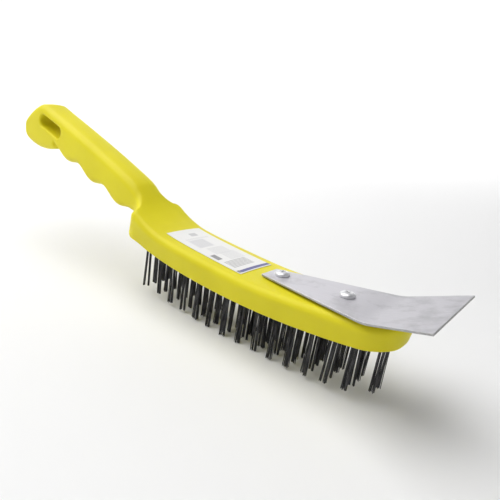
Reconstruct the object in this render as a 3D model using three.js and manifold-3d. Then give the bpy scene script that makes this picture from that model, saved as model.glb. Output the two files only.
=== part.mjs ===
// Hand wire brush with a scraper blade: a one-piece moulded plastic handle and head, steel wire
// tufts in blind holes in four rows, a bent sheet steel scraper held by two screws, and a label.
// Millimetres. +X runs from the handle to the blade, +Z up, wires down. The origin is under the
// middle of the brush, on the plane that the lowest wire tips stand on.
import * as THREE from 'three';
import { mergeVertices } from 'three/addons/utils/BufferGeometryUtils.js';
import Module from 'manifold-3d';

const wasm = await Module();
wasm.setup();

// ---- driving dimensions ----

// wires and their holes
const tuftRows = 4;
const rowSpacing = 6.06;
const tuftColumns = 15;
const columnSpacing = 10;
const firstColumnX = -14.6;
const freeLength = 23.65;          // wire showing below the head at its lowest tufts
const tuftRootRadius = 1.45;
const tuftTipRadius = 1.8;
const tuftHoleRadius = 1.75;
const tuftHoleDepth = 6.5;

// head: its underside is an arc that is lowest under the middle of the head
const bellyX = 50.4;
const bellyRadius = 427;
const headHalfWidth = 18.5;
const headDraft = 3;               // the underside is narrower than the top by this on each side
const headTopRounding = 3.2;
const headBottomRounding = 1.2;
const crownHeight = 0.5;           // the top face is this much higher along its middle
const shoulderRounding = 3;
const noseStartX = 118.15;
const noseLength = 16.3;
const noseBottomRounding = 2;
const noseLean = 1.3;              // how far the front face leans out from bottom to top
const rearWallEndX = -23.5;        // where the rear wall has turned into the underside
const rearWallLean = 5.5;          // how far forward the top of the head stands there

// handle
const handleEndX = -149;
const handleHalfWidth = 9.8;
const handleEndRounding = 3;
const handleTopRounding = 5;
const handleBottomRounding = 4;
const neckX = -31;                 // where the handle starts to widen into the shoulders
const neckFillet = 11;
const fingerPitch = 26.1;
const fingerDepth = 3.7;
const fingerCount = 3;
const firstSeatX = -34.8;          // the end of the last finger hollow, at the neck
const firstSeatZ = 44.5;
const seatSlope = 0.282;
const knobRadius = 43.5;
const knobX = -129;
const knobZ = 61.5;
const knobFrontLength = 1.5;
const knobCornerRounding = 5;
const slotX = -117.75;
const slotZ = 77.6;
const slotLength = 24.2;
const slotWidth = 7.8;
const slotAngle = THREE.MathUtils.degToRad(15);

// scraper
const sheetThickness = 1;
const sheetSlope = THREE.MathUtils.degToRad(4.58);
const sheetHeightZ = 39;           // underside of the sheet at the rear screw
const scraperRearX = 61.25;
const scraperRearWidth = 12.6;
const bendX = 120.9;
const bendWidth = 42.6;
const bendRadius = 25;
const bladeAngle = THREE.MathUtils.degToRad(20);
const bladeTipX = 148.25;
const bladeTipWidth = 55.1;

// screws
const screwXs = [68.85, 103.45];
const screwHeadRadius = 3.6;
const screwHeadHeight = 2.05;
const screwShankRadius = 1.5;
const screwShankLength = 6.5;
const screwHoleRadius = 1.8;
const recessLength = 4;
const recessWidth = 0.9;
const recessDepth = 1.3;

// label
const labelRearX = 0.2;
const labelFrontX = 54.2;
const labelWidth = 24.3;
const labelTurn = THREE.MathUtils.degToRad(-1.75);   // stuck on slightly crooked
const labelThickness = 0.15;
const labelClearance = 0.15;

const clearance = 0.25;            // between pieces that touch

// ---- materials ----

const yellowPlastic = new THREE.MeshStandardMaterial({ color: 0xd8cc2e, roughness: 0.42, metalness: 0 });
const bristleSteel = new THREE.MeshStandardMaterial({ color: 0x3a3a3a, roughness: 0.45, metalness: 0.9 });
const scraperSteel = new THREE.MeshStandardMaterial({ color: 0xcfcfd4, roughness: 0.38, metalness: 0.85 });
const zincPlated = new THREE.MeshStandardMaterial({ color: 0xe2e2e6, roughness: 0.25, metalness: 0.9 });
const labelPaper = new THREE.MeshStandardMaterial({ color: 0xf3f2f1, roughness: 0.6, metalness: 0 });

// ---- solids: three.js geometry to manifold and back ----

function toSolid(geometry) {
  const bare = geometry.clone();
  bare.deleteAttribute('normal');
  bare.deleteAttribute('uv');
  const merged = mergeVertices(bare, 1e-4);
  return new wasm.Manifold(new wasm.Mesh({
    numProp: 3,
    vertProperties: new Float32Array(merged.attributes.position.array),
    triVerts: new Uint32Array(merged.index.array),
  }));
}

function toGeometry(solid) {
  const mesh = solid.getMesh();
  const geometry = new THREE.BufferGeometry();
  geometry.setAttribute('position', new THREE.BufferAttribute(mesh.vertProperties, 3));
  geometry.setIndex(new THREE.BufferAttribute(mesh.triVerts, 1));
  geometry.computeVertexNormals();
  return geometry;
}

function named(name, geometry, material) {
  const mesh = new THREE.Mesh(geometry, material);
  mesh.name = name;
  return mesh;
}

// ---- outlines ----

// A smooth curve z(x) through [x, z] points that never overshoots between them.
function smoothCurve(points) {
  const steps = points.slice(1).map(([x, z], i) => (z - points[i][1]) / (x - points[i][0]));
  const slopes = points.map((_, i) => {
    const before = steps[Math.max(i - 1, 0)];
    const after = steps[Math.min(i, steps.length - 1)];
    return before * after <= 0 ? 0 : (2 * before * after) / (before + after);
  });
  return (x) => {
    let i = 0;
    while (i < points.length - 2 && x > points[i + 1][0]) i += 1;
    const [x0, z0] = points[i];
    const [x1, z1] = points[i + 1];
    const t = THREE.MathUtils.clamp((x - x0) / (x1 - x0), 0, 1);
    const span = x1 - x0;
    return z0 * (1 + 2 * t) * (1 - t) ** 2 + z1 * t * t * (3 - 2 * t)
      + slopes[i] * span * t * (1 - t) ** 2 - slopes[i + 1] * span * t * t * (1 - t);
  };
}

// The drop of a rounded edge of this radius, at this distance inside the face it runs into.
function roundingDrop(radius, distance) {
  const inside = Math.max(radius - Math.max(distance, 0), 0);
  return radius - Math.sqrt(radius * radius - inside * inside);
}

// The underside of the head. Its lowest tufts are the two columns on either side of bellyX.
function bellyZ(x) {
  const arc = (distance) => bellyRadius - Math.sqrt(bellyRadius ** 2 - distance ** 2);
  return freeLength + arc(x - bellyX) - arc(columnSpacing / 2);
}

// Crown line of the whole body: end chamfer, straight handle, neck sweep, dished head, nose.
const crownLine = smoothCurve([
  [handleEndX, 75], [-148.2, 77.8], [-145.6, 81], [-133, 89.5], [-130.5, 90.3], [-127.5, 90.4],
  [-123.5, 89.3], [-42, 63.6], [-33.85, 60.2], [-27.85, 55.7], [-21.85, 50.85], [-16.4, 47.4],
  [-7.8, 43.65], [2, 41.2], [16, 39.9], [30, 39.1], [43, 38.5], [54, 38.15], [61, 38.05], [68, 38.2],
  [79, 38.85], [90, 39.75], [103, 41], [114, 42.05], [124, 42.85], [136, 43.4],
]);

// The head's underside between its rear wall and the even arc of its belly.
const heelLine = smoothCurve([
  [rearWallEndX, 31.3], [-20, 30.8], [-16.5, 30.1], [-12, 28.9], [-2, 27.1], [8, 25.75],
]);

// Ribs of the rear wall, from the last finger seat round and down to the heel of the head:
// underside x and z, top x, half width of the underside.
const rearWallRibs = [
  [firstSeatX, firstSeatZ, firstSeatX, handleHalfWidth],
  [-29.5, 44, -29.3, 10.25],
  [-26.6, 43.7, -25.6, 11.6],
  [-25.5, 43, -23.6, 12.3],
  [-25.9, 41.8, -22.6, 12.6],
  [-27.1, 39.1, -21.5, 12.9],
  [-28.3, 36.4, -20.9, 13.1],
  [-28.5, 34.2, -20.3, 13.6],
  [-27.5, 32.6, -19.6, 14.3],
  [-25.8, 31.7, -18.9, 15],
  [rearWallEndX, 31.3, rearWallEndX + rearWallLean, headHalfWidth - headDraft],
];

const noseEndX = noseStartX + noseLength;
const knobFrontX = firstSeatX - fingerCount * fingerPitch;

function topZ(x) {
  return crownLine(x) - roundingDrop(headTopRounding, noseEndX - x);
}

function bottomZ(x) {
  if (x < knobFrontX) {
    const knob = knobZ + knobRadius - Math.sqrt(knobRadius ** 2 - (x - knobX) ** 2)
      + roundingDrop(knobCornerRounding, x - handleEndX);
    const lastSeatZ = firstSeatZ + seatSlope * fingerCount * fingerPitch;
    const frontShare = THREE.MathUtils.smoothstep(x, knobFrontX - knobFrontLength, knobFrontX);
    return THREE.MathUtils.lerp(knob, lastSeatZ, frontShare);
  }
  if (x <= firstSeatX) {
    const along = (firstSeatX - x) / fingerPitch;
    const wave = (fingerDepth / 2) * (1 - Math.cos(2 * Math.PI * along));
    return firstSeatZ + seatSlope * (firstSeatX - x) - wave;
  }
  if (x < 8) return heelLine(x);
  return bellyZ(x) + roundingDrop(noseBottomRounding, noseEndX - noseLean - x);
}

// Half width of the top of the section at x.
function halfWidth(x) {
  const flare = headHalfWidth - shoulderRounding - handleHalfWidth;
  const shoulderX = neckX + Math.sqrt(neckFillet ** 2 - (neckFillet - flare) ** 2);
  if (x < neckX) return handleHalfWidth - roundingDrop(handleEndRounding, x - handleEndX);
  if (x < shoulderX) {
    return handleHalfWidth + neckFillet - Math.sqrt(neckFillet ** 2 - (x - neckX) ** 2);
  }
  if (x < noseStartX) return headHalfWidth - roundingDrop(shoulderRounding, x - shoulderX);
  return headHalfWidth * Math.sqrt(Math.max(1 - ((x - noseStartX) / noseLength) ** 2, 0));
}

// Values after first, up to and with last, evenly spaced.
function evenSteps(first, last, count) {
  return Array.from({ length: count }, (_, i) => THREE.MathUtils.lerp(first, last, (i + 1) / count));
}

// Where the sections stand, from the handle's end to the nose, closer where the shape turns fast.
// Each place is [underside x, underside z, top x, half width of the underside].
function handlePlaces() {
  const knobEdgeX = knobFrontX - knobFrontLength;
  const spans = [
    [handleEndX, -148.5, 3], [-148.5, -143, 6], [-143, -134, 4], [-134, -123, 6],
    [-123, knobEdgeX, 4], [knobEdgeX, knobFrontX, 3], [knobFrontX, firstSeatX, 36],
  ];
  const xs = spans.flatMap((span) => evenSteps(...span));
  return [handleEndX, ...xs].map((x) => [x, bottomZ(x), x, halfWidth(x)]);
}

function rearWallPlaces() {
  const ribs = [0, 1, 2, 3].map((value) => smoothCurve(rearWallRibs.map((rib, i) => [i, rib[value]])));
  const lastRib = rearWallRibs.length - 1;
  return evenSteps(0, lastRib, 2 * lastRib).map((i) => ribs.map((rib) => rib(i)));
}

function headPlaces() {
  const spans = [[rearWallEndX, -16, 4], [-16, 8, 6], [8, 108, 20], [108, noseStartX, 3]];
  const xs = spans.flatMap((span) => evenSteps(...span));
  return xs.map((x) => {
    const lean = rearWallLean * (1 - THREE.MathUtils.smoothstep(x, rearWallEndX, 8));
    return [x, bottomZ(x), x + lean, headHalfWidth - headDraft];
  });
}

function nosePlaces() {
  return evenSteps(0, THREE.MathUtils.degToRad(88.5), 14).map((turn) => {
    const x = noseStartX + (noseLength - noseLean) * Math.sin(turn);
    const topX = noseStartX + noseLength * Math.sin(turn);
    return [x, bottomZ(x), topX, (headHalfWidth - headDraft) * Math.cos(turn)];
  });
}

// One section of the body as [x, y, z] points: a closed loop from the top middle, round +Y first.
function bodySection([bottomX, low, topX, narrow], pointsPerArc) {
  const headShare = THREE.MathUtils.smoothstep(topX, neckX, neckX + neckFillet);
  const upper = THREE.MathUtils.lerp(handleTopRounding, headTopRounding, headShare);
  const lower = THREE.MathUtils.lerp(handleBottomRounding, headBottomRounding, headShare);
  const high = topZ(topX);
  const wide = halfWidth(topX);
  const topRadius = Math.min(upper, 0.45 * (high - low), 0.8 * wide);
  const lowRadius = Math.min(lower, 0.45 * (high - low), 0.8 * narrow);
  const crown = crownHeight * (wide / headHalfWidth);
  const edge = high - crown;
  const half = [[0, high], [0.5 * (wide - topRadius), high - 0.25 * crown]];
  for (let i = 0; i <= pointsPerArc; i += 1) {
    const angle = (Math.PI / 2) * (i / pointsPerArc);
    half.push([wide - topRadius + topRadius * Math.sin(angle), edge - topRadius * (1 - Math.cos(angle))]);
  }
  for (let i = 0; i <= pointsPerArc; i += 1) {
    const angle = (Math.PI / 2) * (i / pointsPerArc);
    half.push([narrow - lowRadius * (1 - Math.cos(angle)), low + lowRadius * (1 - Math.sin(angle))]);
  }
  half.push([0.5 * (narrow - lowRadius), low], [0, low]);
  const mirrored = half.slice(1, -1).reverse().map(([y, z]) => [-y, z]);
  return [...half, ...mirrored].map(([y, z]) => {
    const upward = (z - low) / (high - low);
    return [THREE.MathUtils.lerp(bottomX, topX, upward), y, z];
  });
}

// The body is a closed tube with one ring of vertices to each section, moved onto it.
function bodyBlank() {
  const places = [...handlePlaces(), ...rearWallPlaces(), ...headPlaces(), ...nosePlaces()];
  const sections = places.map((place) => bodySection(place, 3));
  const around = sections[0].length;
  const bottom = around / 2;
  const rings = sections.length - 1;
  const tube = new THREE.CylinderGeometry(1, 1, 1, around, rings);
  const position = tube.attributes.position;
  for (let i = 0; i < position.count; i += 1) {
    const section = sections[Math.round((0.5 - position.getY(i)) * rings)];
    const isCentre = Math.hypot(position.getX(i), position.getZ(i)) < 0.5;
    const turn = Math.atan2(position.getX(i), position.getZ(i)) / (2 * Math.PI);
    const [x, y, z] = isCentre
      ? section[0].map((value, axis) => (value + section[bottom][axis]) / 2)
      : section[(Math.round(turn * around) + around) % around];
    position.setXYZ(i, x, y, z);
  }
  return toSolid(tube);
}

// ---- cutters ----

function uprightCylinder(radius, length, sides, x, y, bottom) {
  const cylinder = new THREE.CylinderGeometry(radius, radius, length, sides);
  cylinder.rotateX(Math.PI / 2);
  cylinder.translate(x, y, bottom + length / 2);
  return cylinder;
}

function slotCutter() {
  const reach = (slotLength - slotWidth) / 2;
  const outline = new THREE.Shape();
  outline.absarc(reach, 0, slotWidth / 2, -Math.PI / 2, Math.PI / 2);
  outline.absarc(-reach, 0, slotWidth / 2, Math.PI / 2, (3 * Math.PI) / 2);
  const depth = 4 * handleHalfWidth;
  const cutter = new THREE.ExtrudeGeometry(outline, { depth, bevelEnabled: false, curveSegments: 8 });
  cutter.rotateX(Math.PI / 2);
  cutter.translate(0, depth / 2, 0);
  cutter.rotateY(slotAngle);
  cutter.translate(slotX, 0, slotZ);
  return toSolid(cutter);
}

// ---- tufts ----

// The rounded nose has room for the two middle rows only.
function tuftPlaces() {
  const places = [];
  for (let row = 0; row < tuftRows; row += 1) {
    const isOuter = row === 0 || row === tuftRows - 1;
    const columns = isOuter ? tuftColumns - 1 : tuftColumns;
    for (let column = 0; column < columns; column += 1) {
      places.push({
        row,
        column,
        x: firstColumnX + column * columnSpacing,
        y: (row - (tuftRows - 1) / 2) * rowSpacing,
      });
    }
  }
  return places;
}

// A bundle of wires as one solid: its root stands in the blind hole, and its cut end is flat.
function tuft({ x, y }) {
  const mouth = bottomZ(x);
  const tip = bellyZ(x) - freeLength;
  const root = mouth + tuftHoleDepth - clearance;
  const profile = [
    new THREE.Vector2(0, tip),
    new THREE.Vector2(tuftTipRadius, tip),
    new THREE.Vector2(tuftRootRadius, mouth),
    new THREE.Vector2(tuftRootRadius, root),
    new THREE.Vector2(0, root),
  ];
  const bundle = new THREE.LatheGeometry(profile, 10);
  bundle.rotateX(Math.PI / 2);
  bundle.translate(x, y, 0);
  return toGeometry(toSolid(bundle));
}

// ---- scraper and screws ----

// Puts a geometry that stands on the sheet's underside at z = 0 onto the sloping sheet at x.
function ontoSheet(geometry, x) {
  geometry.rotateY(-sheetSlope);
  geometry.translate(x, 0, sheetHeightZ + Math.tan(sheetSlope) * (x - screwXs[0]));
  return geometry;
}

function scraperSideOutline() {
  const direction = new THREE.Vector2(Math.cos(sheetSlope), Math.sin(sheetSlope));
  const bladeDirection = new THREE.Vector2(Math.cos(bladeAngle), Math.sin(bladeAngle));
  const rearZ = sheetHeightZ + Math.tan(sheetSlope) * (scraperRearX - screwXs[0]);
  const rear = new THREE.Vector2(scraperRearX, rearZ);
  const halfBend = bendRadius * Math.tan((bladeAngle - sheetSlope) / 2);
  const straight = (bendX - scraperRearX) / direction.x - halfBend;
  const bendStart = rear.clone().addScaledVector(direction, straight);
  const centre = new THREE.Vector2(
    bendStart.x - bendRadius * direction.y,
    bendStart.y + bendRadius * direction.x,
  );
  const innerRadius = bendRadius - sheetThickness;
  const bendEnd = new THREE.Vector2(
    centre.x + bendRadius * bladeDirection.y,
    centre.y - bendRadius * bladeDirection.x,
  );
  const tip = bendEnd.clone().addScaledVector(bladeDirection, (bladeTipX - bendEnd.x) / bladeDirection.x);
  const up = new THREE.Vector2(-direction.y, direction.x).multiplyScalar(sheetThickness);
  const bladeUp = new THREE.Vector2(-bladeDirection.y, bladeDirection.x).multiplyScalar(sheetThickness);
  const outline = new THREE.Shape();
  outline.moveTo(rear.x, rear.y);
  outline.lineTo(bendStart.x, bendStart.y);
  outline.absarc(centre.x, centre.y, bendRadius, sheetSlope - Math.PI / 2, bladeAngle - Math.PI / 2);
  outline.lineTo(tip.x, tip.y);
  outline.lineTo(tip.x + bladeUp.x, tip.y + bladeUp.y);
  outline.absarc(centre.x, centre.y, innerRadius, bladeAngle - Math.PI / 2, sheetSlope - Math.PI / 2, true);
  outline.lineTo(rear.x + up.x, rear.y + up.y);
  return outline;
}

function scraperPlanOutline() {
  const outline = new THREE.Shape();
  outline.moveTo(scraperRearX, -scraperRearWidth / 2);
  outline.lineTo(bendX, -bendWidth / 2);
  outline.lineTo(bladeTipX, -bladeTipWidth / 2);
  outline.lineTo(bladeTipX, bladeTipWidth / 2);
  outline.lineTo(bendX, bendWidth / 2);
  outline.lineTo(scraperRearX, scraperRearWidth / 2);
  return outline;
}

function scraper() {
  const width = 1.2 * bladeTipWidth;
  const settings = { depth: width, bevelEnabled: false, curveSegments: 6 };
  const bent = new THREE.ExtrudeGeometry(scraperSideOutline(), settings);
  bent.rotateX(Math.PI / 2);
  bent.translate(0, width / 2, 0);
  const plan = new THREE.ExtrudeGeometry(scraperPlanOutline(), { depth: 100, bevelEnabled: false });
  let solid = toSolid(bent).intersect(toSolid(plan));
  for (const x of screwXs) {
    const hole = uprightCylinder(screwHoleRadius, 6, 20, 0, 0, -3);
    solid = solid.subtract(toSolid(ontoSheet(hole, x)));
  }
  return toGeometry(solid);
}

// Pan head screw with a cross recess. Its shank goes through the sheet into the head.
function screw(x) {
  const seat = sheetThickness + clearance;
  const profile = [
    new THREE.Vector2(0, seat - sheetThickness - screwShankLength),
    new THREE.Vector2(screwShankRadius * 0.4, seat - sheetThickness - screwShankLength),
    new THREE.Vector2(screwShankRadius, seat - sheetThickness - screwShankLength + 1.5),
    new THREE.Vector2(screwShankRadius, seat),
    new THREE.Vector2(screwHeadRadius, seat),
    new THREE.Vector2(screwHeadRadius, seat + 0.45 * screwHeadHeight),
    new THREE.Vector2(0.82 * screwHeadRadius, seat + 0.8 * screwHeadHeight),
    new THREE.Vector2(0.45 * screwHeadRadius, seat + 0.97 * screwHeadHeight),
    new THREE.Vector2(0, seat + screwHeadHeight),
  ];
  const turned = new THREE.LatheGeometry(profile, 20);
  turned.rotateX(Math.PI / 2);
  let solid = toSolid(turned);
  for (const [length, width] of [[recessLength, recessWidth], [recessWidth, recessLength]]) {
    const arm = new THREE.BoxGeometry(length, width, 2 * recessDepth);
    arm.translate(0, 0, seat + screwHeadHeight);
    solid = solid.subtract(toSolid(arm));
  }
  return ontoSheet(toGeometry(solid), x);
}

// ---- label ----

function label() {
  const steps = 12;
  const xs = [labelRearX, ...evenSteps(labelRearX, labelFrontX, steps)];
  const under = xs.map((x) => new THREE.Vector2(x, crownLine(x) + labelClearance));
  const over = under.map((point) => new THREE.Vector2(point.x, point.y + labelThickness)).reverse();
  const outline = new THREE.Shape([...under, ...over]);
  const strip = new THREE.ExtrudeGeometry(outline, { depth: labelWidth, bevelEnabled: false });
  strip.rotateX(Math.PI / 2);
  const middleX = (labelRearX + labelFrontX) / 2;
  strip.translate(-middleX, labelWidth / 2, 0);
  strip.rotateZ(labelTurn);
  strip.translate(middleX, 0, 0);
  return strip;
}

// ---- body ----

function body() {
  const cutters = [slotCutter()];
  for (const { x, y } of tuftPlaces()) {
    const top = bottomZ(x) + tuftHoleDepth;
    cutters.push(toSolid(uprightCylinder(tuftHoleRadius, 12, 12, x, y, top - 12)));
  }
  for (const x of screwXs) {
    const pilot = uprightCylinder(screwHoleRadius, 12, 16, 0, 0, clearance - screwShankLength - 0.5);
    cutters.push(toSolid(ontoSheet(pilot, x)));
  }
  return toGeometry(bodyBlank().subtract(wasm.Manifold.union(cutters)));
}

// ---- assembly ----

const wireBrush = new THREE.Group();
wireBrush.add(named('brush_body', body(), yellowPlastic));
wireBrush.add(named('scraper_blade', scraper(), scraperSteel));
wireBrush.add(named('rear_screw', screw(screwXs[0]), zincPlated));
wireBrush.add(named('front_screw', screw(screwXs[1]), zincPlated));
wireBrush.add(named('label', label(), labelPaper));

// The first column of tufts has no solids here: its four holes stay open.
for (const place of tuftPlaces()) {
  if (place.column === 0) continue;
  const column = String(place.column + 1).padStart(2, '0');
  wireBrush.add(named(`tuft_row${place.row + 1}_${column}`, tuft(place), bristleSteel));
}

export default wireBrush;
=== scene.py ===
"""Looks for the hand wire brush with a scraper blade.

The shapes are worked out in millimetres in the CAD frame: +X runs from the handle to the blade, +Z up,
wires down, with the lowest wire tips at z = 0. Meshes are turned into metres as they are made.
"""
import math
import random

import bmesh
import bpy
from mathutils import Matrix, Vector


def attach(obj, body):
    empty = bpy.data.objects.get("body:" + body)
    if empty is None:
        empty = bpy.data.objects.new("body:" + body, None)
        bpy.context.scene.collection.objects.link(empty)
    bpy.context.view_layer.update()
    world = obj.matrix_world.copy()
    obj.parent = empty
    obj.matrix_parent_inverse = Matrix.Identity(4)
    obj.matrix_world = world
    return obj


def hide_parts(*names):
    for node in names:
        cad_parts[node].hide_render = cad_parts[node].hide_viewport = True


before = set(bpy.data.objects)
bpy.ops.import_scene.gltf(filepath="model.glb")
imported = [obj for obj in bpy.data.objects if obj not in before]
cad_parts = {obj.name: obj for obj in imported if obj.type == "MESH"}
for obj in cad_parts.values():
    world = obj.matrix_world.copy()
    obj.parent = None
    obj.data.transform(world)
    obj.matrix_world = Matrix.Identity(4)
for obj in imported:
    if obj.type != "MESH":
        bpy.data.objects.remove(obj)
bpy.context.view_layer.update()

MM = 0.001

# ---- driving dimensions, in millimetres ----

# wires and their holes
TUFT_ROWS = 4
ROW_SPACING = 6.06
TUFT_COLUMNS = 15
COLUMN_SPACING = 10.0
FIRST_COLUMN_X = -14.6
FREE_LENGTH = 23.65         # wire showing below the head at its lowest tufts
HOLE_RADIUS = 1.75
HOLE_DEPTH = 6.5
WIRES_PER_HALF = 11
WIRE_RADIUS = 0.18
HALF_BUNDLE_RADIUS = 0.55
HALF_BUNDLE_OFFSET = 0.78   # of each half bundle from the middle of its hole
LOOSE_SHARE = 0.2           # of the half bundles, with wires that stray
SHORT_SHARE = 0.2           # of the half bundles, with every second wire cut shorter
SPREAD_SHARE = 0.25         # of the half bundles, with wires that fan out

# head
BELLY_X = 50.4              # the lowest point of the head's curve
BELLY_RADIUS = 427.0
HEAD_HALF_WIDTH = 18.5
HEAD_DRAFT = 3.0            # the underside is narrower than the top by this on each side
HEAD_TOP_ROUNDING = 3.2
HEAD_BOTTOM_ROUNDING = 1.2
CROWN_HEIGHT = 0.5          # the top face is this much higher along its middle
SHOULDER_ROUNDING = 3.0
NOSE_START_X = 118.15
NOSE_LENGTH = 16.3
NOSE_LEAN = 1.3             # how far the front face leans out from bottom to top
NOSE_BOTTOM_ROUNDING = 2.0
REAR_WALL_END_X = -23.5     # where the rear wall has turned into the underside
REAR_WALL_LEAN = 5.5        # how far forward the top of the head stands there
HEEL_END_X = 8              # where the underside goes on as the even arc of the belly

# handle
HANDLE_END_X = -149.0
HANDLE_HALF_WIDTH = 9.8
HANDLE_END_ROUNDING = 3.0
KNOB_CORNER_ROUNDING = 5.0
HANDLE_TOP_ROUNDING = 5.0
HANDLE_BOTTOM_ROUNDING = 4.0
NECK_X = -31.0              # where the handle starts to widen into the shoulders
NECK_FILLET = 11.0
FINGER_PITCH = 26.1
FINGER_DEPTH = 3.7
FINGER_COUNT = 3
FIRST_SEAT_X = -34.8        # the end of the last finger hollow, at the neck
FIRST_SEAT_Z = 44.5
SEAT_SLOPE = 0.282
KNOB_RADIUS = 43.5
KNOB_X = -129.0
KNOB_Z = 61.5
KNOB_FRONT_LENGTH = 1.5
SLOT_X = -117.75
SLOT_Z = 77.6
SLOT_LENGTH = 24.2
SLOT_WIDTH = 7.8
SLOT_ANGLE = math.radians(15)
SLOT_EDGE_ROUNDING = 1.4

# scraper
SHEET_THICKNESS = 1.0
SHEET_EDGE_EASE = 0.12
SHEET_SLOPE = math.radians(4.58)
SHEET_HEIGHT_Z = 39.0       # underside of the sheet at the rear screw
SCRAPER_REAR_X = 61.25
SCRAPER_REAR_WIDTH = 12.6
BEND_X = 120.9
BEND_WIDTH = 42.6
BEND_RADIUS = 25.0
BLADE_ANGLE = math.radians(20)
BLADE_TIP_X = 148.25
BLADE_TIP_WIDTH = 55.1
PAINTED_SHADE_START_X = 100.0        # from here to the bend the steel's colour is darkened as painted shade, and it stays darker over the blade

# screws
SCREW_XS = (68.85, 103.45)
SCREW_HEAD_RADIUS = 3.6
SCREW_HEAD_HEIGHT = 2.05
SCREW_SHANK_RADIUS = 1.5
SCREW_SHANK_LENGTH = 6.5
SCREW_POINT_LENGTH = 1.6
SCREW_THREAD_PITCH = 0.8
SCREW_HOLE_RADIUS = 1.8
SCREW_SEAT_GAP = 0.12

# label
LABEL_REAR_X = 0.2
LABEL_FRONT_X = 54.2
LABEL_WIDTH = 24.3
LABEL_TURN = math.radians(-1.75)    # stuck on slightly crooked
LABEL_LIFT = 0.12
LABEL_THICKNESS = 0.12

# what is printed on the label: x from and to, y from and to
LABEL_TINT = (12.5, 22.5, -8, 3)
LABEL_TEXT_BLOCKS = ((10.5, 12, -8, 9), (13, 22, -7.5, 2.5), (24, 32, -6, 6), (31, 40, -3, 8))
LABEL_BARS = (40.5, 48.3, -9.5, 6)
LABEL_MARK = (31.5, 37.5, -10.3, -7.0)
LABEL_SQUARE = (5, 8.5, -1, 4)
LABEL_STRIPE = (51.2, 53.4, -9.8, 12.2)
LABEL_STRIPE_END = (50.8, 53.2, -11.6, -9.8)

# camera: its place in millimetres, and angles in degrees
CAMERA_PLACE = (181.07, -189.69, 124.34)
CAMERA_AZIMUTH = 35.1
CAMERA_ELEVATION = 18.68
CAMERA_ROLL = 9.33
CAMERA_LENS = 35.27

# studio: metres, watts and degrees
FLOOR_RADIUS = 1.2
WALL_CURVE = math.radians(60)
WALL_TOP = (3.2, 2.46)      # radius and height
WORLD_STRENGTH = 0.16
KEY_PLACE = (-0.45, -0.25, 1.0)
KEY_SIZE = 1.5
KEY_POWER = 18
BACKDROP_LIGHTS = (("behind", 126, 26), ("left", 228, 7), ("right", 30, 8))    # bearing and power
BACKDROP_LIGHT_SIZE = 1.4
BACKDROP_LIGHT_PLACE = (1.3, 1.3)    # distance from the brush and height
BACKDROP_LIGHT_AIM = (2.5, 0.2)      # the same, of the point on the wall it shines at


# ---- small helpers ----

def lerp(a, b, t):
    return a + (b - a) * t


def smoothstep(x, low, high):
    t = min(max((x - low) / (high - low), 0.0), 1.0)
    return t * t * (3 - 2 * t)


def steps(first, last, count):
    """Evenly spaced values after first, up to and with last."""
    return [lerp(first, last, (i + 1) / count) for i in range(count)]


def smooth_curve(points):
    """A smooth curve z(x) through (x, z) points that never overshoots between them."""
    chords = [(b[1] - a[1]) / (b[0] - a[0]) for a, b in zip(points, points[1:])]
    slopes = []
    for i in range(len(points)):
        before = chords[max(i - 1, 0)]
        after = chords[min(i, len(chords) - 1)]
        slopes.append(0.0 if before * after <= 0 else 2 * before * after / (before + after))

    def curve(x):
        i = 0
        while i < len(points) - 2 and x > points[i + 1][0]:
            i += 1
        (x0, z0), (x1, z1) = points[i], points[i + 1]
        t = min(max((x - x0) / (x1 - x0), 0.0), 1.0)
        bend = slopes[i] * t * (1 - t) ** 2 - slopes[i + 1] * t * t * (1 - t)
        return z0 * (1 + 2 * t) * (1 - t) ** 2 + z1 * t * t * (3 - 2 * t) + (x1 - x0) * bend

    return curve


def rounding_drop(radius, distance):
    """How far a rounded edge has fallen away at this distance inside the face it runs into."""
    inside = max(radius - max(distance, 0.0), 0.0)
    return radius - math.sqrt(radius * radius - inside * inside)


def make_piece(name, vertices, faces, material, nodes=(), sharp_angle=35):
    """A mesh piece from millimetre coordinates, riding on the brush."""
    mesh = bpy.data.meshes.new(name)
    mesh.from_pydata([Vector(v) * MM for v in vertices], [], faces)
    mesh.validate()
    piece = bpy.data.objects.new(name, mesh)
    bpy.context.scene.collection.objects.link(piece)
    finish_piece(piece, material, nodes, sharp_angle)
    return piece


def finish_piece(piece, material, nodes, sharp_angle):
    piece.data.materials.clear()
    piece.data.materials.append(material)
    face_outwards(piece.data)
    piece.data.polygons.foreach_set("use_smooth", [True] * len(piece.data.polygons))
    piece.data.set_sharp_from_angle(angle=math.radians(sharp_angle))
    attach(piece, "root")
    if nodes:
        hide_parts(*nodes)


def face_outwards(mesh):
    work = bmesh.new()
    work.from_mesh(mesh)
    bmesh.ops.recalc_face_normals(work, faces=work.faces)
    work.to_mesh(mesh)
    work.free()


def ring_faces(rings, around):
    """Quads between rings of vertices, with a flat cap on each end."""
    faces = []
    for r in range(rings - 1):
        for i in range(around):
            j = (i + 1) % around
            faces.append((r * around + i, r * around + j, (r + 1) * around + j, (r + 1) * around + i))
    last = (rings - 1) * around
    faces.append(tuple(range(around))[::-1])
    faces.append(tuple(range(last, last + around)))
    return faces


def add_closed_shape(vertices, faces, new_vertices, new_faces):
    """Adds one more closed shape to the lists of a mesh."""
    base = len(vertices)
    vertices.extend(new_vertices)
    faces.extend(tuple(base + v for v in face) for face in new_faces)


def turned(profile, around):
    """Rings of vertices about the upright axis, one for each radius and height in the profile."""
    turns = [2 * math.pi * i / around for i in range(around)]
    return [(r * math.cos(turn), r * math.sin(turn), z) for r, z in profile for turn in turns]


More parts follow.
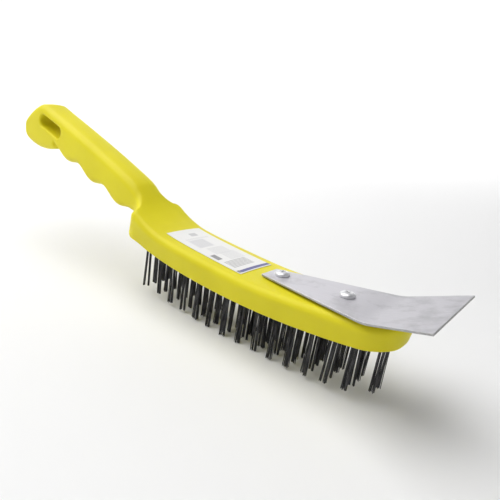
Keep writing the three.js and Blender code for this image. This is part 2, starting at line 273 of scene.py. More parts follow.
def cut(piece, cutter_vertices, cutter_faces):
    """Takes a closed cutter away from a piece and keeps the result in the piece's own mesh."""
    mesh = bpy.data.meshes.new("cutter")
    mesh.from_pydata([Vector(v) * MM for v in cutter_vertices], [], cutter_faces)
    face_outwards(mesh)
    cutter = bpy.data.objects.new("cutter", mesh)
    bpy.context.scene.collection.objects.link(cutter)
    modifier = piece.modifiers.new("cut", "BOOLEAN")
    modifier.operation = "DIFFERENCE"
    modifier.solver = "EXACT"
    modifier.object = cutter
    graph = bpy.context.evaluated_depsgraph_get()
    result = bpy.data.meshes.new_from_object(piece.evaluated_get(graph))
    piece.modifiers.clear()
    piece.data = result
    bpy.data.objects.remove(cutter)


# ---- materials ----

def new_material(name):
    material = bpy.data.materials.new(name)
    material.use_nodes = True
    shader = material.node_tree.nodes["Principled BSDF"]
    return material, material.node_tree, shader


def noise(tree, scale, detail=3.0, roughness=0.5, stretch=(1, 1, 1)):
    """Noise in the object's own metres. Returns the node."""
    place = tree.nodes.new("ShaderNodeTexCoord")
    mapping = tree.nodes.new("ShaderNodeMapping")
    mapping.inputs["Scale"].default_value = stretch
    texture = tree.nodes.new("ShaderNodeTexNoise")
    texture.inputs["Scale"].default_value = scale
    texture.inputs["Detail"].default_value = detail
    texture.inputs["Roughness"].default_value = roughness
    tree.links.new(place.outputs["Object"], mapping.inputs["Vector"])
    tree.links.new(mapping.outputs["Vector"], texture.inputs["Vector"])
    return texture


def ramp(tree, source, low, high, first, last):
    """Colours first to last as the source goes from low to high."""
    node = tree.nodes.new("ShaderNodeValToRGB")
    node.color_ramp.elements[0].position = low
    node.color_ramp.elements[1].position = high
    node.color_ramp.elements[0].color = first
    node.color_ramp.elements[1].color = last
    tree.links.new(source, node.inputs["Fac"])
    return node.outputs["Color"]


def value_range(tree, source, low, high, first, last):
    node = tree.nodes.new("ShaderNodeMapRange")
    node.inputs["From Min"].default_value = low
    node.inputs["From Max"].default_value = high
    node.inputs["To Min"].default_value = first
    node.inputs["To Max"].default_value = last
    tree.links.new(source, node.inputs["Value"])
    return node.outputs["Result"]


def add_bump(tree, shader, height, distance, strength=1.0):
    node = tree.nodes.new("ShaderNodeBump")
    node.inputs["Distance"].default_value = distance
    node.inputs["Strength"].default_value = strength
    tree.links.new(height, node.inputs["Height"])
    tree.links.new(node.outputs["Normal"], shader.inputs["Normal"])


def yellow_plastic():
    material, tree, shader = new_material("yellow_plastic")
    broad = noise(tree, 35, detail=2)
    colour = ramp(tree, broad.outputs["Fac"], 0.35, 0.65, (0.68, 0.60, 0.012, 1), (0.73, 0.65, 0.015, 1))
    tree.links.new(colour, shader.inputs["Base Color"])
    fine = noise(tree, 900, detail=4)
    gloss = value_range(tree, fine.outputs["Fac"], 0.3, 0.7, 0.42, 0.52)
    tree.links.new(gloss, shader.inputs["Roughness"])
    add_bump(tree, shader, fine.outputs["Fac"], 0.00003, 0.35)
    shader.inputs["IOR"].default_value = 1.45
    shader.inputs["Specular IOR Level"].default_value = 0.28
    shader.inputs["Subsurface Weight"].default_value = 0.2
    shader.inputs["Subsurface Radius"].default_value = (1.0, 0.8, 0.15)
    shader.inputs["Subsurface Scale"].default_value = 0.003
    return material


def wire_steel():
    material, tree, shader = new_material("wire_steel")
    streaks = noise(tree, 1400, detail=2, stretch=(1, 1, 0.12))
    dark, bright = (0.025, 0.025, 0.027, 1), (0.12, 0.12, 0.125, 1)
    colour = ramp(tree, streaks.outputs["Fac"], 0.35, 0.7, dark, bright)
    tree.links.new(colour, shader.inputs["Base Color"])
    shader.inputs["Metallic"].default_value = 0.8
    rough = value_range(tree, streaks.outputs["Fac"], 0.3, 0.7, 0.32, 0.5)
    tree.links.new(rough, shader.inputs["Roughness"])
    return material


def scraper_steel():
    """Rolled steel with smudges, with painted shade that darkens the sheet from x = 100 mm to the bend
    and over the blade.
    """
    material, tree, shader = new_material("scraper_steel")
    grain = noise(tree, 900, detail=3, stretch=(0.04, 1, 1))
    smudges = noise(tree, 70, detail=4, roughness=0.65)
    colour = ramp(tree, smudges.outputs["Fac"], 0.30, 0.5, (0.47, 0.463, 0.49, 1), (0.61, 0.60, 0.635, 1))
    place = tree.nodes.new("ShaderNodeTexCoord")
    split = tree.nodes.new("ShaderNodeSeparateXYZ")
    tree.links.new(place.outputs["Object"], split.inputs["Vector"])
    # painted shade: the base colour is scaled from 1.0 down to 0.81 towards the front of the sheet,
    # darker where less light falls
    painted_shade = value_range(tree, split.outputs["X"], PAINTED_SHADE_START_X * MM, BEND_X * MM, 1.0, 0.81)
    shaded_colour = tree.nodes.new("ShaderNodeVectorMath")
    shaded_colour.operation = "SCALE"
    tree.links.new(colour, shaded_colour.inputs[0])
    tree.links.new(painted_shade, shaded_colour.inputs["Scale"])
    tree.links.new(shaded_colour.outputs["Vector"], shader.inputs["Base Color"])
    shader.inputs["Metallic"].default_value = 0.6
    rough = value_range(tree, grain.outputs["Fac"], 0.3, 0.7, 0.46, 0.58)
    tree.links.new(rough, shader.inputs["Roughness"])
    add_bump(tree, shader, grain.outputs["Fac"], 0.00002, 0.3)
    return material


def sheared_edge():
    """The cut edge of the sheet: duller and darker than its rolled faces."""
    material, tree, shader = new_material("sheared_edge")
    tear = noise(tree, 1200, detail=2, stretch=(0.3, 0.3, 1))
    colour = ramp(tree, tear.outputs["Fac"], 0.35, 0.65, (0.35, 0.345, 0.34, 1), (0.48, 0.475, 0.47, 1))
    tree.links.new(colour, shader.inputs["Base Color"])
    shader.inputs["Metallic"].default_value = 0.6
    rough = value_range(tree, tear.outputs["Fac"], 0.3, 0.7, 0.5, 0.65)
    tree.links.new(rough, shader.inputs["Roughness"])
    return material


def zinc_plate():
    material, tree, shader = new_material("zinc_plate")
    mottle = noise(tree, 500, detail=3)
    colour = ramp(tree, mottle.outputs["Fac"], 0.35, 0.65, (0.68, 0.68, 0.70, 1), (0.78, 0.78, 0.80, 1))
    tree.links.new(colour, shader.inputs["Base Color"])
    shader.inputs["Metallic"].default_value = 0.75
    rough = value_range(tree, mottle.outputs["Fac"], 0.3, 0.7, 0.34, 0.44)
    tree.links.new(rough, shader.inputs["Roughness"])
    return material


def math_node(tree, operation, a, b):
    """One step of arithmetic on sockets or plain numbers."""
    node = tree.nodes.new("ShaderNodeMath")
    node.operation = operation
    for socket, value in zip(node.inputs, (a, b)):
        if isinstance(value, (int, float)):
            socket.default_value = value
        else:
            tree.links.new(value, socket)
    return node.outputs[0]


def within(tree, coordinate, low, high):
    above = math_node(tree, "GREATER_THAN", coordinate, low * MM)
    below = math_node(tree, "LESS_THAN", coordinate, high * MM)
    return math_node(tree, "MULTIPLY", above, below)


def stripes(tree, coordinate, pitch, share):
    """Stripes across a coordinate, each taking this share of its pitch."""
    scaled = math_node(tree, "DIVIDE", coordinate, pitch * MM)
    fraction = math_node(tree, "FRACT", scaled, 0)
    return math_node(tree, "LESS_THAN", fraction, share)


def block(tree, place, edges):
    x0, x1, y0, y1 = edges
    return math_node(tree, "MULTIPLY", within(tree, place["X"], x0, x1), within(tree, place["Y"], y0, y1))


def printed(tree, base, mask, ink, strength):
    """The base colour with ink over it where the mask is 1."""
    mix = tree.nodes.new("ShaderNodeMix")
    mix.data_type = "RGBA"
    tree.links.new(math_node(tree, "MULTIPLY", mask, strength), mix.inputs["Factor"])
    if isinstance(base, tuple):
        mix.inputs["A"].default_value = base
    else:
        tree.links.new(base, mix.inputs["A"])
    mix.inputs["B"].default_value = ink
    return mix.outputs["Result"]


def label_place(tree):
    """The X and Y of a point on the label, turned back to lie straight along the brush."""
    coordinates = tree.nodes.new("ShaderNodeTexCoord")
    straighten = tree.nodes.new("ShaderNodeMapping")
    middle_x = (LABEL_REAR_X + LABEL_FRONT_X) / 2
    shift_x = middle_x * (1 - math.cos(LABEL_TURN)) * MM
    shift_y = middle_x * math.sin(LABEL_TURN) * MM
    straighten.inputs["Rotation"].default_value = (0, 0, -LABEL_TURN)
    straighten.inputs["Location"].default_value = (shift_x, shift_y, 0)
    split = tree.nodes.new("ShaderNodeSeparateXYZ")
    tree.links.new(coordinates.outputs["Object"], straighten.inputs["Vector"])
    tree.links.new(straighten.outputs["Vector"], split.inputs["Vector"])
    return split.outputs


def printed_label():
    """White paper with a generic printed layout of grey lines, bars, marks and a blue stripe."""
    paper = (0.75, 0.745, 0.735, 1)
    pale = (0.55, 0.55, 0.58, 1)
    grey = (0.35, 0.35, 0.37, 1)
    dark = (0.10, 0.10, 0.11, 1)
    blue = (0.03, 0.035, 0.22, 1)
    material, tree, shader = new_material("label_paper")
    place = label_place(tree)
    colour = printed(tree, paper, block(tree, place, LABEL_TINT), pale, 0.4)
    fine_lines = stripes(tree, place["Y"], 1.3, 0.45)
    for edges in LABEL_TEXT_BLOCKS:
        mask = math_node(tree, "MULTIPLY", block(tree, place, edges), fine_lines)
        colour = printed(tree, colour, mask, grey, 0.45)
    bar_lines = stripes(tree, place["X"], 1.1, 0.5)
    bars = math_node(tree, "MULTIPLY", block(tree, place, LABEL_BARS), bar_lines)
    colour = printed(tree, colour, bars, dark, 0.6)
    marks = (
        (LABEL_MARK, dark, 0.75), (LABEL_SQUARE, grey, 0.6),
        (LABEL_STRIPE, blue, 0.9), (LABEL_STRIPE_END, dark, 0.85),
    )
    for edges, ink, strength in marks:
        colour = printed(tree, colour, block(tree, place, edges), ink, strength)
    tree.links.new(colour, shader.inputs["Base Color"])
    fibre = noise(tree, 1500, detail=3)
    rough = value_range(tree, fibre.outputs["Fac"], 0.3, 0.7, 0.42, 0.55)
    tree.links.new(rough, shader.inputs["Roughness"])
    return material


# ---- body ----

def belly_z(x):
    """The underside of the head. Its lowest tufts are the two columns on either side of BELLY_X."""
    def arc(distance):
        return BELLY_RADIUS - math.sqrt(BELLY_RADIUS ** 2 - distance ** 2)
    return FREE_LENGTH + arc(x - BELLY_X) - arc(COLUMN_SPACING / 2)


crown_line = smooth_curve((
    (HANDLE_END_X, 75.0), (-148.2, 77.8), (-145.6, 81.0), (-133, 89.5), (-130.5, 90.3), (-127.5, 90.4),
    (-123.5, 89.3), (-42, 63.6), (-33.85, 60.2), (-27.85, 55.7), (-21.85, 50.85), (-16.4, 47.4),
    (-7.8, 43.65), (2, 41.2), (16, 39.9), (30, 39.1), (43, 38.5), (54, 38.15), (61, 38.05),
    (68, 38.2), (79, 38.85), (90, 39.75), (103, 41), (114, 42.05), (124, 42.85), (136, 43.4),
))

# the head's underside between its rear wall and the even arc of its belly
heel_line = smooth_curve((
    (REAR_WALL_END_X, 31.3), (-20, 30.8), (-16.5, 30.1), (-12, 28.9), (-2, 27.1), (HEEL_END_X, 25.75),
))

# Ribs of the rear wall, from the last finger seat round and down to the heel of the head:
# underside x and z, top x, half width of the underside.
REAR_WALL_RIBS = (
    (FIRST_SEAT_X, FIRST_SEAT_Z, FIRST_SEAT_X, HANDLE_HALF_WIDTH),
    (-29.5, 44.0, -29.3, 10.25),
    (-26.6, 43.7, -25.6, 11.6),
    (-25.5, 43.0, -23.6, 12.3),
    (-25.9, 41.8, -22.6, 12.6),
    (-27.1, 39.1, -21.5, 12.9),
    (-28.3, 36.4, -20.9, 13.1),
    (-28.5, 34.2, -20.3, 13.6),
    (-27.5, 32.6, -19.6, 14.3),
    (-25.8, 31.7, -18.9, 15.0),
    (REAR_WALL_END_X, 31.3, REAR_WALL_END_X + REAR_WALL_LEAN, HEAD_HALF_WIDTH - HEAD_DRAFT),
)

NOSE_END_X = NOSE_START_X + NOSE_LENGTH
KNOB_FRONT_X = FIRST_SEAT_X - FINGER_COUNT * FINGER_PITCH


def top_z(x):
    return crown_line(x) - rounding_drop(HEAD_TOP_ROUNDING, NOSE_END_X - x)


def bottom_z(x):
    if x < KNOB_FRONT_X:
        knob = KNOB_Z + KNOB_RADIUS - math.sqrt(KNOB_RADIUS ** 2 - (x - KNOB_X) ** 2)
        knob += rounding_drop(KNOB_CORNER_ROUNDING, x - HANDLE_END_X)
        last_seat_z = FIRST_SEAT_Z + SEAT_SLOPE * FINGER_COUNT * FINGER_PITCH
        return lerp(knob, last_seat_z, smoothstep(x, KNOB_FRONT_X - KNOB_FRONT_LENGTH, KNOB_FRONT_X))
    if x <= FIRST_SEAT_X:
        along = (FIRST_SEAT_X - x) / FINGER_PITCH
        wave = FINGER_DEPTH / 2 * (1 - math.cos(2 * math.pi * along))
        return FIRST_SEAT_Z + SEAT_SLOPE * (FIRST_SEAT_X - x) - wave
    if x < HEEL_END_X:
        return heel_line(x)
    return belly_z(x) + rounding_drop(NOSE_BOTTOM_ROUNDING, NOSE_END_X - NOSE_LEAN - x)


def half_width(x):
    """Half width of the top of the section at x."""
    flare = HEAD_HALF_WIDTH - SHOULDER_ROUNDING - HANDLE_HALF_WIDTH
    shoulder_x = NECK_X + math.sqrt(NECK_FILLET ** 2 - (NECK_FILLET - flare) ** 2)
    if x < NECK_X:
        return HANDLE_HALF_WIDTH - rounding_drop(HANDLE_END_ROUNDING, x - HANDLE_END_X)
    if x < shoulder_x:
        return HANDLE_HALF_WIDTH + NECK_FILLET - math.sqrt(NECK_FILLET ** 2 - (x - NECK_X) ** 2)
    if x < NOSE_START_X:
        return HEAD_HALF_WIDTH - rounding_drop(SHOULDER_ROUNDING, x - shoulder_x)
    return HEAD_HALF_WIDTH * math.sqrt(max(1 - ((x - NOSE_START_X) / NOSE_LENGTH) ** 2, 0))


def lower_half_width(x):
    """Half width of the underside of the section at x."""
    full = HEAD_HALF_WIDTH - HEAD_DRAFT
    if x > NOSE_START_X:
        along = (x - NOSE_START_X) / (NOSE_LENGTH - NOSE_LEAN)
        return full * math.sqrt(max(1 - along * along, 0))
    if x > FIRST_SEAT_X:
        return full
    return half_width(x)


def body_places():
    """Underside x and z, top x and underside half width of each section, from the handle's end."""
    handle_spans = (
        (HANDLE_END_X, HANDLE_END_X + 0.3, 4), (HANDLE_END_X + 0.3, -146, 8), (-146, -141, 10),
        (-141, -123, 22), (-123, KNOB_FRONT_X - KNOB_FRONT_LENGTH, 8),
        (KNOB_FRONT_X - KNOB_FRONT_LENGTH, KNOB_FRONT_X, 6), (KNOB_FRONT_X, FIRST_SEAT_X, 96),
    )
    head_spans = ((REAR_WALL_END_X, -10, 18), (-10, HEEL_END_X, 14), (HEEL_END_X, NOSE_START_X, 60))
    places = [(HANDLE_END_X, bottom_z(HANDLE_END_X), HANDLE_END_X, lower_half_width(HANDLE_END_X))]
    for first, last, count in handle_spans:
        places.extend((x, bottom_z(x), x, half_width(x)) for x in steps(first, last, count))
    ribs = [smooth_curve(list(enumerate(values))) for values in zip(*REAR_WALL_RIBS)]
    last_rib = len(REAR_WALL_RIBS) - 1
    places.extend(tuple(rib(i) for rib in ribs) for i in steps(0, last_rib, 6 * last_rib))
    for first, last, count in head_spans:
        for x in steps(first, last, count):
            lean = REAR_WALL_LEAN * (1 - smoothstep(x, REAR_WALL_END_X, HEEL_END_X))
            places.append((x, bottom_z(x), x + lean, lower_half_width(x)))
    nose_steps = 26
    for i in range(1, nose_steps + 1):
        reach = math.sin(math.radians(88.5) * i / nose_steps)
        x = NOSE_START_X + (NOSE_LENGTH - NOSE_LEAN) * reach
        places.append((x, bottom_z(x), NOSE_START_X + NOSE_LENGTH * reach, lower_half_width(x)))
    return places


def quarter_turn():
    return [math.pi / 2 * i / 7 for i in range(8)]


def top_outline(wide, high, crown, radius):
    """From the middle of the crowned top out and round its edge."""
    flat = wide - radius
    points = []
    for i in range(6):
        y = flat * i / 6
        points.append((y, high - crown * (y / flat) ** 2))
    for angle in quarter_turn():
        drop = radius * (1 - math.cos(angle))
        points.append((flat + radius * math.sin(angle), high - crown - drop))
    return points


def bottom_outline(narrow, low, radius):
    """Round the lower edge and in along the underside, almost to its middle."""
    points = []
    for angle in quarter_turn():
        inward = radius * (1 - math.cos(angle))
        points.append((narrow - inward, low + radius * (1 - math.sin(angle))))
    for i in range(1, 6):
        points.append(((narrow - radius) * (1 - i / 6), low))
    return points


def body_section(bottom_x, low, top_x, narrow):
    """One ring of the body, from the top middle round by +Y."""
    high = top_z(top_x)
    wide = half_width(top_x)
    head_share = smoothstep(top_x, NECK_X, NECK_X + NECK_FILLET)
    lower = lerp(HANDLE_BOTTOM_ROUNDING, HEAD_BOTTOM_ROUNDING, head_share)
    upper = lerp(HANDLE_TOP_ROUNDING, HEAD_TOP_ROUNDING, head_share)
    tallest = 0.45 * (high - low)
    top_radius = min(upper, tallest, 0.8 * wide)
    low_radius = min(lower, tallest, 0.8 * narrow)
    crown = CROWN_HEIGHT * wide / HEAD_HALF_WIDTH
    side_top = high - crown - top_radius
    side_low = low + low_radius
    half = top_outline(wide, high, crown, top_radius)
    for i in range(1, 6):
        half.append((lerp(wide, narrow, i / 6), lerp(side_top, side_low, i / 6)))
    half += bottom_outline(narrow, low, low_radius)
    ring = half + [(0, low)] + [(-y, z) for y, z in half[:0:-1]]
    return [(lerp(bottom_x, top_x, (z - low) / (high - low)), y, z) for y, z in ring]


def slot_cutter():
    """A stadium through the handle that flares at both faces, so the slot's edges come out rounded."""
    reach = (SLOT_LENGTH - SLOT_WIDTH) / 2
    flare = SLOT_EDGE_ROUNDING
    beyond_side = HANDLE_HALF_WIDTH + 4.2
    stations = [(-beyond_side, flare)]
    turns = [math.radians(80) * (1 - i / 6) for i in range(7)]
    for turn in turns:
        depth = HANDLE_HALF_WIDTH - flare + flare * math.sin(turn)
        stations.append((-depth, flare * (1 - math.cos(turn))))
    stations.extend((-y, grow) for y, grow in stations[::-1])
    around = 48
    vertices = []
    for y, grow in stations:
        radius = SLOT_WIDTH / 2 + grow
        for i in range(around):
            angle = 2 * math.pi * (i + 0.5) / around
            along = radius * math.cos(angle) + math.copysign(reach, math.cos(angle))
            across = radius * math.sin(angle)
            x = SLOT_X + along * math.cos(SLOT_ANGLE) + across * math.sin(SLOT_ANGLE)
            z = SLOT_Z - along * math.sin(SLOT_ANGLE) + across * math.cos(SLOT_ANGLE)
            vertices.append((x, y, z))
    return vertices, ring_faces(len(stations), around)


def tuft_places():
    """Row, column, x and y of every tuft. The rounded nose has room for the middle rows only."""
    for row in range(TUFT_ROWS):
        for column in range(TUFT_COLUMNS):
            outer_row = row in (0, TUFT_ROWS - 1)
            if outer_row and column == TUFT_COLUMNS - 1:
                continue
            x = FIRST_COLUMN_X + column * COLUMN_SPACING
            y = (row - (TUFT_ROWS - 1) / 2) * ROW_SPACING
            yield row, column, x, y


def hole_cutters():
    """Blind holes that flare a little at the mouth."""
    around = 20
    flare = 0.25
    vertices = []
    faces = []
    for _, _, x, y in tuft_places():
        mouth = bottom_z(x)
        rings = ((mouth - 6, flare), (mouth - flare, flare), (mouth + 0.1, 0), (mouth + HOLE_DEPTH, 0))
        hole = []
        for z, grow in rings:
            for i in range(around):
                angle = 2 * math.pi * i / around
                radius = HOLE_RADIUS + grow
                hole.append((x + radius * math.cos(angle), y + radius * math.sin(angle), z))
        add_closed_shape(vertices, faces, hole, ring_faces(len(rings), around))
    return vertices, faces


def brush_body(material):
    rings = [body_section(*place) for place in body_places()]
    around = len(rings[0])
    vertices = [v for ring in rings for v in ring]
    body = make_piece("moulded_body", vertices, ring_faces(len(rings), around), material,
                      ["brush_body"])
    cut(body, *slot_cutter())
    cut(body, *hole_cutters())
    finish_piece(body, material, (), 32)


# ---- wires ----

def wire_tube(path, radius, sides=6):
    """A thin closed tube along nearly vertical points."""
    vertices = []
    for x, y, z in path:
        for i in range(sides):
            angle = 2 * math.pi * i / sides
            vertices.append((x + radius * math.cos(angle), y + radius * math.sin(angle), z))
    return vertices, ring_faces(len(path), sides)


def wire_path(x, y, heights, root, tip, bow):
    """Straight out of the hole and on to the tip, with a slight bow."""
    inside, mouth, end = heights
    (root_x, root_y), (tip_x, tip_y), (bow_x, bow_y) = root, tip, bow
    path = [(x + root_x, y + root_y, inside), (x + root_x, y + root_y, mouth)]
    for t in steps(0, 1, 5):
        swing = math.sin(math.pi * t)
        path.append((
            x + lerp(root_x, tip_x, t ** 1.2) + bow_x * swing,
            y + lerp(root_y, tip_y, t ** 1.2) + bow_y * swing,
            lerp(mouth, end, t),
        ))
    return path


def half_bundle(chance, x, y, heights, side, opening, turn, lean):
    """The paths of the wires in one half bundle, which stands to this side of the hole's middle."""
    inside, mouth, lowest = heights
    lean_x, lean_y = lean
    loose = 0.45 if chance.random() < LOOSE_SHARE else 0.1
    short = chance.uniform(0.5, 2.5) if chance.random() < SHORT_SHARE else 0.0
    spread = 1.9 if chance.random() < SPREAD_SHARE else 1.1
    golden_angle = math.pi * (3 - math.sqrt(5))
    paths = []
    for i in range(WIRES_PER_HALF):
        distance = HALF_BUNDLE_RADIUS * math.sqrt((i + 0.5) / WIRES_PER_HALF)
        angle = i * golden_angle + turn
        across_x, across_y = distance * math.cos(angle), distance * math.sin(angle)
        root_x = side * HALF_BUNDLE_OFFSET * math.cos(turn) + across_x
        root_y = side * HALF_BUNDLE_OFFSET * math.sin(turn) + across_y
        tip_x = side * opening * math.cos(turn) + across_x * spread + lean_x
        tip_y = side * opening * math.sin(turn) + across_y * spread + lean_y
        tip = (tip_x + chance.gauss(0, loose), tip_y + chance.gauss(0, loose))
        bow = (chance.gauss(0, 0.5 * loose), chance.gauss(0, 0.5 * loose))
        end = lowest + abs(chance.gauss(0, 0.12)) + (short if i % 2 else 0.0)
        paths.append(wire_path(x, y, (inside, mouth, end), (root_x, root_y), tip, bow))
    return paths


def tuft(row, column, x, y, material):
    """A bundle folded in two round its anchor, so two half bundles of wires stand in each hole."""
    chance = random.Random(100 * row + column)
    mouth = bottom_z(x)
    heights = (mouth + HOLE_DEPTH - 0.6, mouth, max(belly_z(x) - FREE_LENGTH, 0.02))
    lean = (chance.gauss(0, 0.35), chance.gauss(0, 0.3))
    opening = chance.choice((0.75, 0.8, 1.05, 1.35))
    turn = chance.gauss(0, 0.3)
    vertices = []
    faces = []
    for side in (-1, 1):
        for path in half_bundle(chance, x, y, heights, side, opening, turn, lean):
            add_closed_shape(vertices, faces, *wire_tube(path, WIRE_RADIUS))
    nodes = [f"tuft_row{row + 1}_{column + 1:02d}"] if column > 0 else ()
    make_piece(f"wires_row{row + 1}_{column + 1:02d}", vertices, faces, material, nodes, 60)


# ---- scraper ----

def scraper_stations():
    """Along the middle of the sheet's underside: x, z and slope."""
    rear_z = SHEET_HEIGHT_Z + math.tan(SHEET_SLOPE) * (SCRAPER_REAR_X - SCREW_XS[0])
    half_bend = BEND_RADIUS * math.tan((BLADE_ANGLE - SHEET_SLOPE) / 2)
    bend_start = BEND_X - half_bend * math.cos(SHEET_SLOPE)
    stations = []
    for x in [SCRAPER_REAR_X] + steps(SCRAPER_REAR_X, bend_start, 24):
        z = rear_z + math.tan(SHEET_SLOPE) * (x - SCRAPER_REAR_X)
        stations.append((x, z, SHEET_SLOPE))
    x, z, _ = stations[-1]
    centre_x = x - BEND_RADIUS * math.sin(SHEET_SLOPE)
    centre_z = z + BEND_RADIUS * math.cos(SHEET_SLOPE)
    for slope in steps(SHEET_SLOPE, BLADE_ANGLE, 10):
        x = centre_x + BEND_RADIUS * math.sin(slope)
        z = centre_z - BEND_RADIUS * math.cos(slope)
        stations.append((x, z, slope))
    x, z, _ = stations[-1]
    for tip_x in steps(x, BLADE_TIP_X, 10):
        stations.append((tip_x, z + math.tan(BLADE_ANGLE) * (tip_x - x), BLADE_ANGLE))
    return stations


def scraper_half_width(x):
    if x < BEND_X:
        along = (x - SCRAPER_REAR_X) / (BEND_X - SCRAPER_REAR_X)
        return lerp(SCRAPER_REAR_WIDTH, BEND_WIDTH, along) / 2
    along = (x - BEND_X) / (BLADE_TIP_X - BEND_X)
    return lerp(BEND_WIDTH, BLADE_TIP_WIDTH, along) / 2


def sheet_ring(x, z, slope, inset):
    """A section across the sheet with its edges eased; inset draws it in, for the sheet's two ends."""
    ease = SHEET_EDGE_EASE + inset
    wide = scraper_half_width(x)
    thick = SHEET_THICKNESS
    across = [(y, inset) for y in (-wide + ease, -0.5 * wide, 0, 0.5 * wide, wide - ease)]
    outline = across + [(wide - inset, ease), (wide - inset, thick - ease)]
    outline += [(y, thick - h) for y, h in across[::-1]]
    outline += [(-wide + inset, thick - ease), (-wide + inset, ease)]
    return [(x - h * math.sin(slope), y, z + h * math.cos(slope)) for y, h in outline]


def screw_hole_cutters():
    around = 32
    vertices = []
    faces = []
    for x in SCREW_XS:
        z = SHEET_HEIGHT_Z + math.tan(SHEET_SLOPE) * (x - SCREW_XS[0])
        hole = []
        for height in (-2, 3):
            for i in range(around):
                angle = 2 * math.pi * i / around
                along, across = SCREW_HOLE_RADIUS * math.cos(angle), SCREW_HOLE_RADIUS * math.sin(angle)
                hole.append((
                    x + along * math.cos(SHEET_SLOPE) - height * math.sin(SHEET_SLOPE),
                    across,
                    z + along * math.sin(SHEET_SLOPE) + height * math.cos(SHEET_SLOPE),
                ))
        add_closed_shape(vertices, faces, hole, ring_faces(2, around))
    return vertices, faces


def scraper(material, edge_material):
    stations = scraper_stations()
    ease = SHEET_EDGE_EASE
    (first_x, first_z, first_slope), (last_x, last_z, last_slope) = stations[0], stations[-1]
    rings = [sheet_ring(first_x, first_z, first_slope, ease)]
    rings.append(sheet_ring(first_x + ease, first_z + ease * math.tan(first_slope), first_slope, 0))
    rings += [sheet_ring(x, z, slope, 0) for x, z, slope in stations[1:-1]]
    rings.append(sheet_ring(last_x - ease, last_z - ease * math.tan(last_slope), last_slope, 0))
    rings.append(sheet_ring(last_x, last_z, last_slope, ease))
    around = len(rings[0])
    vertices = [v for ring in rings for v in ring]
    blade = make_piece("bent_scraper", vertices, ring_faces(len(rings), around), material,
                       ["scraper_blade"])
    cut(blade, *screw_hole_cutters())
    finish_piece(blade, material, (), 30)
    blade.data.materials.append(edge_material)
    for face in blade.data.polygons:
        if abs(face.normal.z) < 0.5:
            face.material_index = 1


# ---- screws ----

def cross(reach, half):
    """The 12 corners of a cross with arms of this reach and half width."""
    corners = []
    for quarter in range(4):
        angle = quarter * math.pi / 2
        for along, across in ((reach, -half), (reach, half), (half, half)):
            corners.append((
                along * math.cos(angle) - across * math.sin(angle),
                along * math.sin(angle) + across * math.cos(angle),
            ))
    return corners


def recess_cutter():
    """A tapered cross for the driver, in the screw's own millimetres above its seat."""
    top, floor = SCREW_HEAD_HEIGHT + 0.4, SCREW_HEAD_HEIGHT - 1.35
    wide_cross, narrow_cross = cross(1.75, 0.42), cross(0.9, 0.32)
    vertices = [(x, y, floor) for x, y in narrow_cross]
    vertices += [(x, y, top) for x, y in wide_cross]
    return vertices, ring_faces(2, len(wide_cross))


def screw_profile():
    """Radius and height of the screw's turned shape, from its point up to the top of its head."""
    shank, head, tall = SCREW_SHANK_RADIUS, SCREW_HEAD_RADIUS, SCREW_HEAD_HEIGHT
    z = -SCREW_SHANK_LENGTH + SCREW_POINT_LENGTH
    thread_end = -1.6
    profile = [(0.3, -SCREW_SHANK_LENGTH), (shank - 0.2, z)]
    while z < thread_end:
        profile += [(shank - 0.25, z + 0.15), (shank, z + 0.4)]
        z += SCREW_THREAD_PITCH
    profile += [(shank - 0.1, -0.6), (shank - 0.1, 0.0)]
    profile += [(head - 0.15, 0.0), (head, 0.15), (head, 0.42 * tall)]
    last_angle = math.radians(78)
    for i in range(1, 8):
        angle = last_angle * i / 8
        rise = 0.58 * math.sin(angle) / math.sin(last_angle)
        profile.append((head * (0.25 + 0.75 * math.cos(angle)), tall * (0.42 + rise)))
    profile.append((0.25, tall))
    return profile


def screw(name, node, x, turn, material):
    profile = screw_profile()
    around = 48
    vertices = turned(profile, around)
    piece = make_piece(name, vertices, ring_faces(len(profile), around), material, [node])
    cut(piece, *recess_cutter())
    seat = SHEET_THICKNESS + SCREW_SEAT_GAP
    z = SHEET_HEIGHT_Z + math.tan(SHEET_SLOPE) * (x - SCREW_XS[0])
    place = (
        Matrix.Translation(Vector((x, 0, z)) * MM)
        @ Matrix.Rotation(-SHEET_SLOPE, 4, "Y")
        @ Matrix.Translation(Vector((0, 0, seat)) * MM)
        @ Matrix.Rotation(turn, 4, "Z")
    )
    piece.data.transform(place)
    finish_piece(piece, material, (), 32)


# ---- label ----

def label_point(along, across, lift):
    """A point this far above the head's top, counted along and across from the label's middle."""
    flat = HEAD_HALF_WIDTH - HEAD_TOP_ROUNDING
    middle_x = (LABEL_REAR_X + LABEL_FRONT_X) / 2
    x = middle_x + along * math.cos(LABEL_TURN) - across * math.sin(LABEL_TURN)
    y = along * math.sin(LABEL_TURN) + across * math.cos(LABEL_TURN)
    return (x, y, crown_line(x) - CROWN_HEIGHT * (y / flat) ** 2 + lift)


def thin_sheet_faces(columns, rows):
    """Two layers of columns by rows, and the rim that closes them."""
    def index(layer, i, j):
        return (layer * (columns + 1) + i) * (rows + 1) + j
    faces = []
    for layer in (0, 1):
        for i in range(columns):
            for j in range(rows):
                faces.append((index(layer, i, j), index(layer, i + 1, j),
                              index(layer, i + 1, j + 1), index(layer, i, j + 1)))
    rim = [(i, 0) for i in range(columns)] + [(columns, j) for j in range(rows)]
    rim += [(i, rows) for i in range(columns, 0, -1)] + [(0, j) for j in range(rows, 0, -1)]
    for here, there in zip(rim, rim[1:] + rim[:1]):
        faces.append((index(0, *here), index(0, *there), index(1, *there), index(1, *here)))
    return faces


def label(material):
    """Thin paper laid on the head's crowned top."""
    columns, rows = 36, 14
    length = LABEL_FRONT_X - LABEL_REAR_X
    vertices = []
    for lift in (LABEL_LIFT, LABEL_LIFT + LABEL_THICKNESS):
        for i in range(columns + 1):
            for j in range(rows + 1):
                along = length * (i / columns - 0.5)
                across = LABEL_WIDTH * (j / rows - 0.5)
                vertices.append(label_point(along, across, lift))
    faces = thin_sheet_faces(columns, rows)
    make_piece("paper_label", vertices, faces, material, ["label"])


# ---- camera, light and floor ----

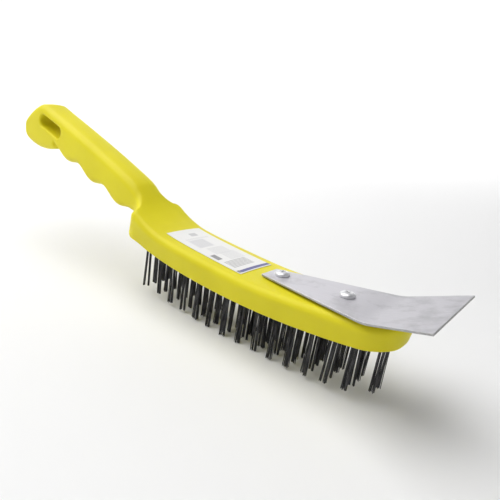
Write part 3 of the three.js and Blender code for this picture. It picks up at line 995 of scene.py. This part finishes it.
def camera():
    """At the photograph's angle: azimuth 35, elevation 19, rolled a little."""
    azimuth = math.radians(CAMERA_AZIMUTH)
    elevation = math.radians(CAMERA_ELEVATION)
    roll = math.radians(CAMERA_ROLL)
    place = Vector(CAMERA_PLACE) * MM
    back = Vector((
        math.sin(azimuth) * math.cos(elevation),
        -math.cos(azimuth) * math.cos(elevation),
        math.sin(elevation),
    ))
    level = Vector((math.cos(azimuth), math.sin(azimuth), 0))
    right = level * math.cos(roll) + back.cross(level) * math.sin(roll)
    up = back.cross(right)
    data = bpy.data.cameras.new("camera")
    data.lens = CAMERA_LENS
    data.sensor_width = 36
    data.clip_start = 0.01
    data.clip_end = 50
    piece = bpy.data.objects.new("camera", data)
    piece.matrix_world = Matrix((
        (right.x, up.x, back.x, place.x),
        (right.y, up.y, back.y, place.y),
        (right.z, up.z, back.z, place.z),
        (0, 0, 0, 1),
    ))
    bpy.context.scene.collection.objects.link(piece)
    bpy.context.scene.camera = piece


def area_light(name, place, target, size, power):
    data = bpy.data.lights.new(name, "AREA")
    data.shape = "DISK"
    data.size = size
    data.energy = power
    light = bpy.data.objects.new(name, data)
    light.location = place
    light.rotation_euler = (Vector(target) - Vector(place)).to_track_quat("-Z", "Y").to_euler()
    bpy.context.scene.collection.objects.link(light)


def backdrop():
    """A pale floor that curves up all round into a plain wall."""
    around = 96
    profile = [(0.02, 0.0), (FLOOR_RADIUS, 0.0)]
    for i in range(1, 13):
        angle = WALL_CURVE * i / 12
        profile.append((FLOOR_RADIUS + math.sin(angle), 1 - math.cos(angle)))
    profile.append(WALL_TOP)
    vertices = turned(profile, around)
    faces = ring_faces(len(profile), around)[:-1]
    mesh = bpy.data.meshes.new("floor")
    mesh.from_pydata(vertices, [], faces)
    mesh.polygons.foreach_set("use_smooth", [True] * len(mesh.polygons))
    material, _, shader = new_material("backdrop")
    shader.inputs["Base Color"].default_value = (0.82, 0.82, 0.82, 1)
    shader.inputs["Roughness"].default_value = 0.9
    mesh.materials.append(material)
    floor = bpy.data.objects.new("floor", mesh)
    bpy.context.scene.collection.objects.link(floor)


def lights():
    """White surroundings, a soft key light above the brush and lights that shine at the wall."""
    world = bpy.data.worlds.new("studio")
    bpy.context.scene.world = world
    world.use_nodes = True
    world.node_tree.nodes["Background"].inputs["Color"].default_value = (1, 1, 1, 1)
    world.node_tree.nodes["Background"].inputs["Strength"].default_value = WORLD_STRENGTH
    area_light("key", KEY_PLACE, (0, 0, 0.05), KEY_SIZE, KEY_POWER)
    (light_distance, light_z), (aim_distance, aim_z) = BACKDROP_LIGHT_PLACE, BACKDROP_LIGHT_AIM
    for name, bearing, power in BACKDROP_LIGHTS:
        out_x, out_y = math.cos(math.radians(bearing)), math.sin(math.radians(bearing))
        place = (light_distance * out_x, light_distance * out_y, light_z)
        target = (aim_distance * out_x, aim_distance * out_y, aim_z)
        area_light("backdrop_" + name, place, target, BACKDROP_LIGHT_SIZE, power)


camera()
backdrop()
lights()
bpy.context.scene.view_settings.view_transform = "Standard"

plastic = yellow_plastic()
wire = wire_steel()
sheet_steel = scraper_steel()
zinc = zinc_plate()
paper = printed_label()

brush_body(plastic)
for tuft_row, tuft_column, tuft_x, tuft_y in tuft_places():
    tuft(tuft_row, tuft_column, tuft_x, tuft_y, wire)
scraper(sheet_steel, sheared_edge())
screw("pan_head_screw_rear", "rear_screw", SCREW_XS[0], math.radians(20), zinc)
screw("pan_head_screw_front", "front_screw", SCREW_XS[1], math.radians(55), zinc)
label(paper)
